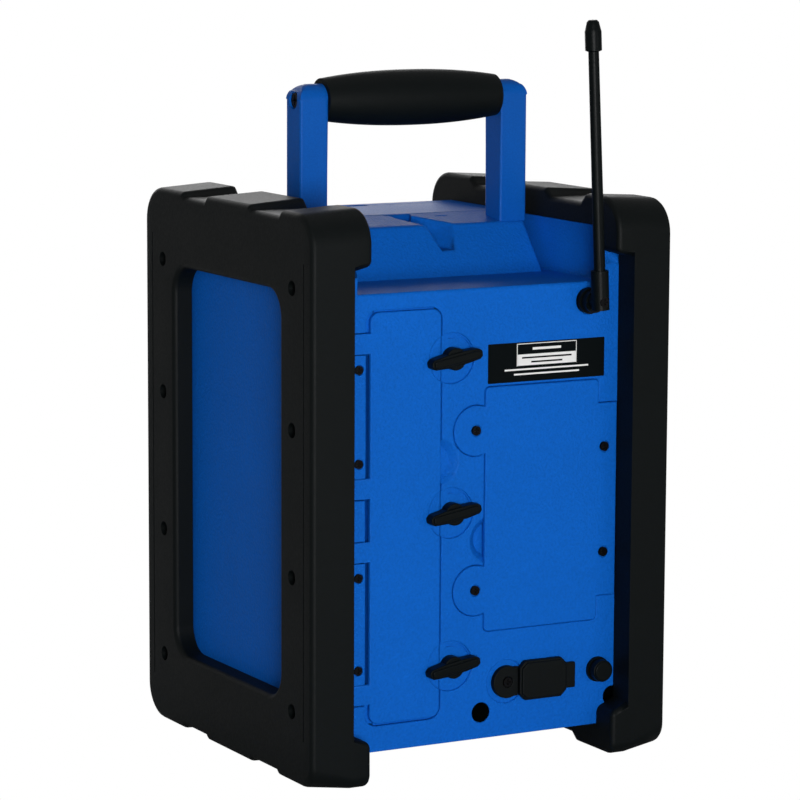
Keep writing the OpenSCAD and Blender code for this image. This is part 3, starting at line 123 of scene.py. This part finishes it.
# a material whose nodes are made by one method
class Paint:
    def __init__(self, name, **constants):
        self.material = bpy.data.materials.new(name)
        self.material.use_nodes = True
        self.tree = self.material.node_tree
        self.shader = self.tree.nodes["Principled BSDF"]
        self.set(**constants)

    def feed(self, target, value):
        if isinstance(value, Wire):
            self.tree.links.new(value.socket, target)
        else:
            target.default_value = value

    def node(self, kind, settings=None, inputs=None, out=0):
        made = self.tree.nodes.new("ShaderNode" + kind)
        for key, value in (settings or {}).items():
            setattr(made, key, value)
        for key, value in (inputs or {}).items():
            self.feed(made.inputs[key], value)
        return Wire(self, made.outputs[out])

    def place(self, stretch=(1, 1, 1)):
        found = self.node("TexCoord", out="Object")
        return self.node("Mapping", None, {"Vector": found, "Scale": stretch})

    def noise(self, scale, detail=2, stretch=(1, 1, 1)):
        return self.node("TexNoise", None, {"Vector": self.place(stretch), "Scale": scale,
                                            "Detail": detail})

    def blend(self, factor, first, second):
        return self.node("Mix", {"data_type": "RGBA"}, {0: factor, 6: first, 7: second}, 2)

    # the colour between its darkest and its lightest share
    def tint(self, factor, colour, shares):
        return self.blend(factor, shade(colour, shares[0]), shade(colour, shares[1]))

    def bump(self, height, depth):
        return self.node("Bump", None, {"Height": height, "Distance": depth})

    def set(self, **values):
        for socket, value in values.items():
            self.feed(self.shader.inputs[socket.replace("_", " ")], value)
        return self.material


def shade(colour, share):
    return tuple(share * part for part in colour[:3]) + (1,)


plasticSettings = {
    "patches": 14,           # scale of the slow changes
    "patchTint": 0.3,        # the patches' part of the tint, the grain has the rest
    "shares": (0.74, 1.26),
    "grainRough": 0.14,
    "patchRough": 0.1,
}


# moulded plastic: fine spark-eroded grain, slow patches of gloss
def moulded(name, colour, grain, depth, rough, gloss, s=plasticSettings):
    paint = Paint(name, Specular_IOR_Level=gloss)
    patches = paint.noise(s["patches"], 3)
    speckle = paint.noise(grain)
    mixed = speckle * (1 - s["patchTint"]) + patches * s["patchTint"]
    smoothest = rough - (s["grainRough"] + s["patchRough"]) / 2
    return paint.set(Base_Color=paint.tint(mixed, colour, s["shares"]),
                     Roughness=speckle * s["grainRough"] + patches * s["patchRough"] + smoothest,
                     Normal=paint.bump(speckle, depth))


rubberSettings = {
    "skin": 620,
    "flow": 9,
    "flowStretch": (1, 1, 3),
    "shares": (0.8, 1.25),
    "skinRough": 0.16,
    "flowRough": 0.12,
    "depth": 0.00006,
}


# rubber: duller, with faint flow streaks and a soft skin
def rubbery(name, colour, rough, gloss, s=rubberSettings):
    paint = Paint(name, Specular_IOR_Level=gloss)
    skin = paint.noise(s["skin"], 3)
    flow = paint.noise(s["flow"], 2, s["flowStretch"])
    smoothest = rough - (s["skinRough"] + s["flowRough"]) / 2
    return paint.set(Base_Color=paint.tint(flow, colour, s["shares"]),
                     Roughness=skin * s["skinRough"] + flow * s["flowRough"] + smoothest,
                     Normal=paint.bump(skin, s["depth"]))


metalSettings = {
    "lines": 900,
    "shares": (0.8, 1.1),
    "lineRough": 0.2,
    "depth": 0.00002,
}


# metal, drawn or cut along one axis
def metallic(name, colour, rough, stretch, s=metalSettings):
    paint = Paint(name, Metallic=1.0)
    lines = paint.noise(s["lines"], 2, stretch)
    return paint.set(Base_Color=paint.tint(lines, colour, s["shares"]),
                     Roughness=lines * s["lineRough"] + (rough - s["lineRough"] / 2),
                     Normal=paint.bump(lines, s["depth"]))


boardSettings = {
    "rough": 0.4,
    "cells": 160,
    "track": 0.06,           # half a track's width, in cells
    "shares": (1, 1.8),
}


def printedBoard(name, colour, s=boardSettings):
    paint = Paint(name, Roughness=s["rough"])
    cells = paint.node("TexVoronoi", {"feature": "DISTANCE_TO_EDGE"},
                       {"Vector": paint.place(), "Scale": s["cells"]})
    tracks = paint.node("Math", {"operation": "LESS_THAN"}, {0: cells, 1: s["track"]})
    return paint.set(Base_Color=paint.tint(tracks, colour, s["shares"]))


windowSettings = {
    "rough": 0.08,
    "cover": 0.35,
    "haze": 40,
    "shares": (0.9, 1.1),
}


def tintedWindow(name, colour, s=windowSettings):
    paint = Paint(name, Roughness=s["rough"], Alpha=s["cover"])
    return paint.set(Base_Color=paint.tint(paint.noise(s["haze"]), colour, s["shares"]))


inkSettings = {
    "fibre": 700,
    "shares": (0.93, 1),
    "smoothest": 0.4,
    "fibreRough": 0.2,
}


# printed or plain film, with a faint fibre in it
def inked(name, colour, gloss=0.15, s=inkSettings):
    paint = Paint(name, Specular_IOR_Level=gloss)
    fibre = paint.noise(s["fibre"])
    return paint.set(Base_Color=paint.tint(fibre, colour, s["shares"]),
                     Roughness=fibre * s["fibreRough"] + s["smoothest"])


blueTone = (0.0035, 0.118, 0.545)
blackTone = (0.0016, 0.0029, 0.0031)
looks = {
    # moulded: colour, grain's scale, its depth in metres, roughness, gloss
    "blue_case": moulded("bluePlastic", blueTone, 620, 0.0005, 0.5, 0.05),
    # painted shade: the handle's blue is the case blue darkened to 0.8, for the darker look the handle
    # has under the light
    "blue_handle": moulded("bluePaintShaded", shade(blueTone, 0.8), 900, 0.00006, 0.42, 0.08),
    "black_rubber": rubbery("rubber", blackTone, 0.55, 0.12),
    "black_plastic": moulded("blackPlastic", shade(blackTone, 1.1), 1200, 0.00004, 0.4, 0.09),
    "label": inked("labelFilm", (0.0025, 0.0042, 0.0048), 0.03),
    "dark_steel": metallic("blackenedSteel", (0.012, 0.012, 0.013), 0.5, (1, 6, 1)),
    "steel": metallic("bareSteel", (0.5, 0.5, 0.52), 0.35, (1, 1, 5)),
    "brass": metallic("brass", (0.72, 0.56, 0.26), 0.3, (1, 6, 1)),
    "cell_jacket": moulded("cellSleeve", (0.1, 0.1, 0.11), 500, 0.00001, 0.28, 0.5),
    "board": printedBoard("circuitBoard", (0.03, 0.16, 0.08)),
    "grey_plastic": moulded("greyPlastic", (0.33, 0.34, 0.34), 1000, 0.00003, 0.45, 0.4),
    "clear_window": tintedWindow("windowTint", (0.2, 0.24, 0.24)),
}
whiteInk = inked("whiteInk", (0.88, 0.88, 0.87))
greyInk = inked("greyInk", (0.32, 0.33, 0.33))
print("materials made")

# how a node's mesh becomes a moulding with rounded edges, in mm and degrees
mouldSettings = {
    "grid": 0.5,
    "gridReach": 0.012,      # a corner this near the grid is moved onto it
    "doubles": 0.03,
    "flatTurn": 0.5,         # faces that turn less than this are one face
    "edgeTurn": 22,          # an edge has to turn more than this to be rounded
    "sharpTurn": 34,         # an edge that isn't rounded shows as sharp past this
    "refillCorners": 6,      # a flat face with fewer corners isn't filled again
    "refillArea": 0.3,       # mm2, and the share of the face, by which it crosses itself
    "refillShare": 0.02,
}


def onGrid(length, s=mouldSettings):
    step = s["grid"] * mm
    nearest = round(length / step) * step
    return nearest if abs(nearest - length) < s["gridReach"] * mm else length


# the face and all that lie flat beside it
def flatRegion(face, level=0.99999):
    found, ahead = {face}, [face]
    while ahead:
        for edge in ahead.pop().edges:
            for other in edge.link_faces:
                if other not in found and other.normal.dot(face.normal) > level:
                    found.add(other)
                    ahead.append(other)
    return found


# flat faces whose triangles cover more or less than their outline holds
def crossedFaces(bm, s=mouldSettings):
    covered = dict.fromkeys(bm.faces, 0)
    for loops in bm.calc_loop_triangles():
        a, b, c = (loop.vert.co for loop in loops)
        covered[loops[0].face] += (b - a).cross(c - a).length / 2
    allowed = s["refillArea"] * mm * mm
    return [face for face, area in covered.items() if len(face.verts) >= s["refillCorners"]
            and abs(area - face.calc_area()) > max(allowed, s["refillShare"] * area)]


def refillFlat(bm, face):
    facing = face.normal.copy()
    region = flatRegion(face)
    edges = {edge for part in region for edge in part.edges}
    rim = [edge for edge in edges if sum(part in region for part in edge.link_faces) == 1]
    bmesh.ops.delete(bm, geom=list(region), context="FACES_ONLY")
    bmesh.ops.delete(bm, geom=list(edges.difference(rim)), context="EDGES")
    fill = bmesh.ops.triangle_fill(bm, use_beauty=True, edges=rim, normal=facing)
    for part in fill["geom"]:
        if isinstance(part, bmesh.types.BMFace):
            part.smooth = True
            part.normal_update()
            if part.normal.dot(facing) < 0:
                part.normal_flip()


# rounding can make a flat face with many corners cross itself, so its outline is filled again
def applyRounding(piece):
    graph = bpy.context.evaluated_depsgraph_get()
    mesh = bpy.data.meshes.new_from_object(piece.evaluated_get(graph))
    bm = bmesh.new()
    bm.from_mesh(mesh)
    for face in crossedFaces(bm):
        if face.is_valid:
            refillFlat(bm, face)
    piece.modifiers.clear()
    bm.to_mesh(mesh)
    bm.free()
    piece.data = mesh


def mergedCopy(node, s=mouldSettings):
    mesh = frame["nodes"][node].data.copy()
    normals = mesh.attributes.get("custom_normal")
    if normals:
        mesh.attributes.remove(normals)
    bm = bmesh.new()
    bm.from_mesh(mesh)
    for vert in bm.verts:
        vert.co = [onGrid(part) for part in vert.co]
    bmesh.ops.remove_doubles(bm, verts=bm.verts, dist=s["doubles"] * mm)
    bmesh.ops.dissolve_limit(bm, angle_limit=radians(s["flatTurn"]), verts=bm.verts, edges=bm.edges)
    return mesh, bm


# widthAt(place, edge) gives the rounding of an edge; the widest is returned
def weighEdges(bm, widthAt, s=mouldSettings):
    weight = bm.edges.layers.float.new("bevel_weight_edge") if widthAt else None
    widths = {}
    for edge in bm.edges:
        if not edge.is_manifold:
            continue
        turn = edge.calc_face_angle(0)
        if widthAt and edge.is_convex and turn > radians(s["edgeTurn"]):
            middle = (edge.verts[0].co + edge.verts[1].co) / 2
            width = widthAt(middle / mm, edge)
            if width:
                widths[edge] = width
        edge.smooth = turn < radians(s["sharpTurn"]) or edge in widths
    widest = max(widths.values(), default=0)
    for edge, width in widths.items():
        edge[weight] = width / widest
    return widest


def moulding(node, widthAt=None, segments=3):
    mesh, bm = mergedCopy(node)
    widest = weighEdges(bm, widthAt)
    for face in bm.faces:
        face.smooth = True
    bm.to_mesh(mesh)
    bm.free()
    mesh.materials.clear()
    mesh.materials.append(looks[slotOf[node]])
    piece = bpy.data.objects.new(node + "_skin", mesh)
    bpy.context.collection.objects.link(piece)
    if widest:
        bevel = piece.modifiers.new("edges", "BEVEL")
        bevel.limit_method = "WEIGHT"
        bevel.width = widest * mm
        bevel.segments = segments
        bevel.use_clamp_overlap = False
        bevel.loop_slide = False
        bevel.miter_outer = "MITER_SHARP"
        applyRounding(piece)
    piece.modifiers.new("shading", "WEIGHTED_NORMAL").keep_sharp = True
    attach(piece, bodyOf[node])
    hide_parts(node)
    return piece


# in mm, with the middle of an edge measured from the radio's middle and the ground
bumperSettings = {
    "edge": 3.2,
    "notchEdge": 1.4,        # edges that run along X within the notches' reach
    "notchReach": 80,
    "alongShare": 0.9,       # the part of an edge's length that has to lie along X
    "screwAcross": 89.5,
    "screwRows": (45.4, 126.4, 214.4, 298.4),
    "screwRoom": 6.5,
    "lineAcross": 104.7,     # the fine groove down each edge of the outer face
    "lineRoom": 0.8,
    "lineFace": 122.5,
    "lineEnds": (29, 315),
    "seatSide": 111.4,       # within these it touches the case and stays sharp
    "seatBack": 98.6,
    "seatEnds": (15.7, 327.1),
    "segments": 4,
}


def bumperEdge(place, edge, s=bumperSettings):
    x, y, z = abs(place.x), abs(place.y), place.z
    if any(hypot(y - s["screwAcross"], z - row) < s["screwRoom"] for row in s["screwRows"]):
        return 0
    low, high = s["lineEnds"]
    if abs(y - s["lineAcross"]) < s["lineRoom"] and x > s["lineFace"] and low < z < high:
        return 0
    low, high = s["seatEnds"]
    if x < s["seatSide"] and y < s["seatBack"] and low < z < high:
        return 0
    span = edge.verts[1].co - edge.verts[0].co
    alongX = abs(span.x) > s["alongShare"] * span.length
    return s["notchEdge"] if alongX and y < s["notchReach"] else s["edge"]


for side in ("left", "right"):
    moulding("bumper_" + side, bumperEdge, bumperSettings["segments"])
print("bumpers made")

caseSettings = {
    "back": 97.9,            # past this an edge is on the back face
    "shelf": 293.2,          # over this it is on the shelf or the top block
    "blockSide": 79,
    "blockFront": -14,
    "slopeFoot": 40,         # the block's slope meets the shelf before this
    "channelNeck": -5.0,     # before this the cable channel opens under the lid
    "holeEdge": 0.8,
    "blockEdge": 2.2,
    "slopeEdge": 1.76,
    "slopeShortest": 3,
    "shelfEdge": 1.32,
    "mouthEdge": 0.3,
    # left sharp: the posts' pockets and the lid's latch slot, as least and most x and y
    "sharpEdged": ((63.9, 76.3, -1.4, 11.1), (25.8, 35.0, -8.0, -6.0)),
}


def backCaseEdge(place, edge, s=caseSettings):
    x, y = abs(place.x), place.y
    onBack = y > s["back"]
    if place.z < s["shelf"]:
        return s["holeEdge"] if onBack else 0
    if any(x0 < x < x1 and y0 < y < y1 for x0, x1, y0, y1 in s["sharpEdged"]):
        return 0
    if x < s["blockSide"] and y > s["blockFront"]:
        if onBack:
            return s["blockEdge"]
        if y < s["channelNeck"]:
            return s["mouthEdge"]
        longEnough = edge.calc_length() > s["slopeShortest"] * mm
        return s["slopeEdge"] if y < s["slopeFoot"] and longEnough else 0
    return s["shelfEdge"] if onBack else 0


# painted shade in the deep screw wells: their blue walls get the black plastic finish so they show as
# unlit holes; x and z of each, its radius and the depths it spans
wellShadeSettings = {
    "at": ((-1.5, 32.7), (-95.2, 157.6), (-95.4, 33.2), (95.4, 33.2), (95.4, 284)),
    "radius": 6.6,
    "mouth": 97.0,
    "foot": 19.0,
}


def paintWellShade(piece, s=wellShadeSettings):
    # painted shade: the well walls take the black plastic finish so the holes look unlit
    piece.data.materials.append(looks["black_plastic"])
    for face in piece.data.polygons:
        x, y, z = face.center / mm
        inWell = any(hypot(x - across, z - up) < s["radius"] for across, up in s["at"])
        if inWell and s["foot"] < y < s["mouth"]:
            face.material_index = 1


paintWellShade(moulding("back_case", backCaseEdge))

postSettings = {
    "edge": 1.6,
    "foot": 326,             # the post is sharp below this, where it stands in the block
    "shortest": 1,
    "bolt": (4.85, 401.9),   # y and z of the bolt's bore
    "boltRoom": 6,
}


def postEdge(place, edge, s=postSettings):
    y, z = s["bolt"]
    clearOfBore = hypot(place.y - y, place.z - z) > s["boltRoom"]
    longEnough = edge.calc_length() > s["shortest"] * mm
    return s["edge"] if place.z > s["foot"] and longEnough and clearOfBore else 0


# edges that lie on a face across Y
def onFace(width, face, tolerance=0.15):
    return lambda place, edge: width if abs(place.y - face) < tolerance else 0


# edges that stand further out than a face across Y
def pastFace(width, face):
    return lambda place, edge: width if abs(place.y) > face else 0


def longerThan(width, shortest=0.0):
    return lambda place, edge: width if edge.calc_length() > shortest * mm else 0


# each node's rounding in mm, and the face it is on or past
roundings = {
    "front_case": onFace(0.5, -98.0),
    "battery_door": onFace(1.0, 98.0),
    "service_cover": onFace(1.0, 98.8),
    "hinge_plate_upper": onFace(0.4, 98.0),
    "hinge_plate_lower": onFace(0.4, 98.0),
    "twist_lock_top": pastFace(0.7, 98.5),
    "twist_lock_middle": pastFace(0.7, 98.5),
    "twist_lock_bottom": pastFace(0.7, 98.5),
    "socket_cap_flap": longerThan(0.7),
    "socket_cap_tab": pastFace(0.5, 100.2),
    "compartment_lid": longerThan(0.5, 4),
    "control_panel": onFace(0.8, -99.0),
    "handle_arm_left": postEdge,
    "handle_arm_right": postEdge,
    "power_button": pastFace(0.6, 100),
    "band_button": pastFace(0.6, 100),
    "memory_button": pastFace(0.6, 100),
    "scan_button": pastFace(0.6, 100),
    "volume_knob": pastFace(0.25, 103),
    "tuning_knob": pastFace(0.25, 103),
    "fuse_cap": pastFace(0.6, 100.5),
}
for node, widthAt in roundings.items():
    moulding(node, widthAt, 2 if node.endswith("knob") else 3)

# these are only smoothed
for node in ("handle_grip", "antenna_base", "antenna_sleeve", "antenna_whip", "antenna_pivot",
             "fuse_holder", "speaker_grille", "compartment_tub", "bumper_screws", "handle_bolts",
             "socket_cap_screw", "service_cover_screws", "hinge_plate_screws", "case_screws",
             "speaker_cone", "speaker_surround", "speaker_basket", "power_inlet", "case_seal"):
    moulding(node)
print("case and fittings made")


def newPiece(name, bm, paint, body):
    mesh = bpy.data.meshes.new(name)
    bmesh.ops.recalc_face_normals(bm, faces=bm.faces)
    bm.to_mesh(mesh)
    bm.free()
    mesh.materials.append(paint)
    piece = bpy.data.objects.new(name, mesh)
    bpy.context.collection.objects.link(piece)
    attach(piece, body)
    return piece


# a flat bar on a face across Y, sizes in mm and its turn about Y
def bar(bm, x, z, width, height, face, thick, turn=0):
    size = Matrix.Diagonal((width * mm, thick * mm, height * mm, 1))
    place = Matrix.Translation(Vector((x, face, z)) * mm) @ Matrix.Rotation(turn, 4, "Y")
    bmesh.ops.create_cube(bm, size=1, matrix=place @ size)


labelSettings = {
    "middle": (-45.4, 246.7),
    "face": 98.33,
    "thick": 0.08,
    "box": (41.7, 13.2),
    "boxRise": 4.4,          # middle of the outlined box over the label's middle
    "line": 0.45,
    "band": 6.8,             # height of the filled part of the box
    "rule": 1.0,
    "head": (3.4, 20, 1.5),  # the bar over the band: its rise, length and height
    "below": ((2.3, 59), (5.2, 46)),     # rules under the box: drop and length
    "onBand": ((4.7, 35), (2.0, 22)),    # dark rules on the band: lift and length
    "onBandRise": 0.05,
}


def printLabel(s):
    x, z = s["middle"]
    width, height = s["box"]
    z += s["boxRise"]
    low = z - height / 2
    white = bmesh.new()
    for side in (-1, 1):
        bar(white, x + side * width / 2, z, s["line"], height + s["line"], s["face"], s["thick"])
    bar(white, x, z + height / 2, width, s["line"], s["face"], s["thick"])
    bar(white, x, low + s["band"] / 2, width, s["band"], s["face"], s["thick"])
    rise, length, tall = s["head"]
    bar(white, x, z + rise, length, tall, s["face"], s["thick"])
    for drop, length in s["below"]:
        bar(white, x, low - drop, length, s["rule"], s["face"], s["thick"])
    newPiece("labelPrint", white, whiteInk, "case")
    dark = bmesh.new()
    for lift, length in s["onBand"]:
        bar(dark, x, low + lift, length, s["rule"], s["face"] + s["onBandRise"], s["thick"])
    newPiece("labelRules", dark, looks["label"], "case")


printLabel(labelSettings)

panelSettings = {
    "face": -99.03,
    "thick": 0.08,
    "knobs": (-66, 66),
    "knobHeight": 277.5,
    "tickRing": 23.6,
    "tick": (0.6, 2.2),
    "ticks": 11,
    "sweep": 270,
    "dot": 1.0,
    "dotStep": 3,
    "buttons": (-37.5, -12.5, 12.5, 37.5),
    "buttonMark": 254,
}


# ticks round each knob, and one to four dots over the buttons
def markPanel(s):
    bm = bmesh.new()
    for x in s["knobs"]:
        for step in range(s["ticks"]):
            turn = radians(s["sweep"] * (step / (s["ticks"] - 1) - 0.5))
            bar(bm, x + s["tickRing"] * sin(turn), s["knobHeight"] + s["tickRing"] * cos(turn),
                *s["tick"], s["face"], s["thick"], turn)
    for count, x in enumerate(s["buttons"], 1):
        for dot in range(count):
            across = x + s["dotStep"] * (dot - (count - 1) / 2)
            bar(bm, across, s["buttonMark"], s["dot"], s["dot"], s["face"], s["thick"])
    newPiece("panelMarks", bm, greyInk, "case")


markPanel(panelSettings)

displaySettings = {
    "digits": (9, 8, 5),
    "middle": (0, 282.5),
    "face": -96.2,
    "thick": 0.1,
    "step": 15,
    "half": 5.2,             # half a digit's width
    "rise": 9.5,             # half a digit's height
    "stroke": 1.9,
}
segmentsOf = {5: "acdfg", 8: "abcdefg", 9: "abcdfg"}


def drawDigits(s):
    bm = bmesh.new()
    cx, cz = s["middle"]
    w, h, t = s["half"], s["rise"], s["stroke"]
    strokes = {"a": (0, h, 2 * w - t, t), "d": (0, -h, 2 * w - t, t), "g": (0, 0, 2 * w - t, t),
               "b": (w, h / 2, t, h - t), "c": (w, -h / 2, t, h - t),
               "e": (-w, -h / 2, t, h - t), "f": (-w, h / 2, t, h - t)}
    for place, digit in enumerate(s["digits"]):
        x = cx + (place - 1) * s["step"]
        for stroke in segmentsOf[digit]:
            dx, dz, width, height = strokes[stroke]
            bar(bm, x + dx, cz + dz, width, height, s["face"], s["thick"])
    newPiece("displayDigits", bm, looks["label"], "case")


drawDigits(displaySettings)
print("printed details made")

# the CAD nodes get the same finishes, and those without a skin show them
for node, shown in frame["nodes"].items():
    if not shown.material_slots:
        shown.data.materials.append(looks[slotOf[node]])
    for slot in shown.material_slots:
        slot.material = looks[slotOf[node]]

floorSettings = {
    "reach": 9,              # metres
    "sink": 0.3,             # mm under the feet
    "colour": (0.82, 0.82, 0.82, 1),
    "rough": 0.8,
}


# a grey floor that the camera sees as white
def layFloor(s):
    bm = bmesh.new()
    bmesh.ops.create_grid(bm, x_segments=1, y_segments=1, size=s["reach"])
    bmesh.ops.translate(bm, verts=bm.verts, vec=(0, 0, -s["sink"] * mm))
    mesh = bpy.data.meshes.new("floor")
    bm.to_mesh(mesh)
    bm.free()
    paint = Paint("floorPaint", Base_Color=s["colour"], Roughness=s["rough"], Specular_IOR_Level=0.0)
    seen = paint.node("LightPath", out="Is Camera Ray")
    white = paint.node("Emission", None, {"Color": (1, 1, 1, 1)})
    mix = paint.node("MixShader", None, {0: seen, 1: Wire(paint, paint.shader.outputs[0]), 2: white})
    paint.feed(paint.tree.nodes["Material Output"].inputs["Surface"], mix)
    mesh.materials.append(paint.material)
    floor = bpy.data.objects.new("floor", mesh)
    bpy.context.collection.objects.link(floor)


# a white world, full for the camera and weaker as light and in mirrored rays
def lightWorld(ambient, mirrored):
    world = bpy.data.worlds.new("world")
    bpy.context.scene.world = world
    world.use_nodes = True
    tree = world.node_tree
    sky = tree.nodes["Background"]
    sky.inputs["Color"].default_value = (1, 1, 1, 1)
    ray = tree.nodes.new("ShaderNodeLightPath")
    level = sky.inputs["Strength"]
    steps = (("Is Camera Ray", 1 - ambient), ("Is Glossy Ray", mirrored - ambient))
    for kind, extra in steps:
        add = tree.nodes.new("ShaderNodeMath")
        add.operation = "MULTIPLY_ADD"
        add.inputs[1].default_value = extra
        add.inputs[2].default_value = ambient
        tree.links.new(ray.outputs[kind], add.inputs[0])
        tree.links.new(add.outputs[0], level)
        level = add.inputs[2]


placeCamera(cameraSettings)
placeLamps(lampSettings)
layFloor(floorSettings)
lightWorld(ambient=0.1, mirrored=0.35)
bpy.context.scene.view_settings.view_transform = "Standard"
print("stage set")
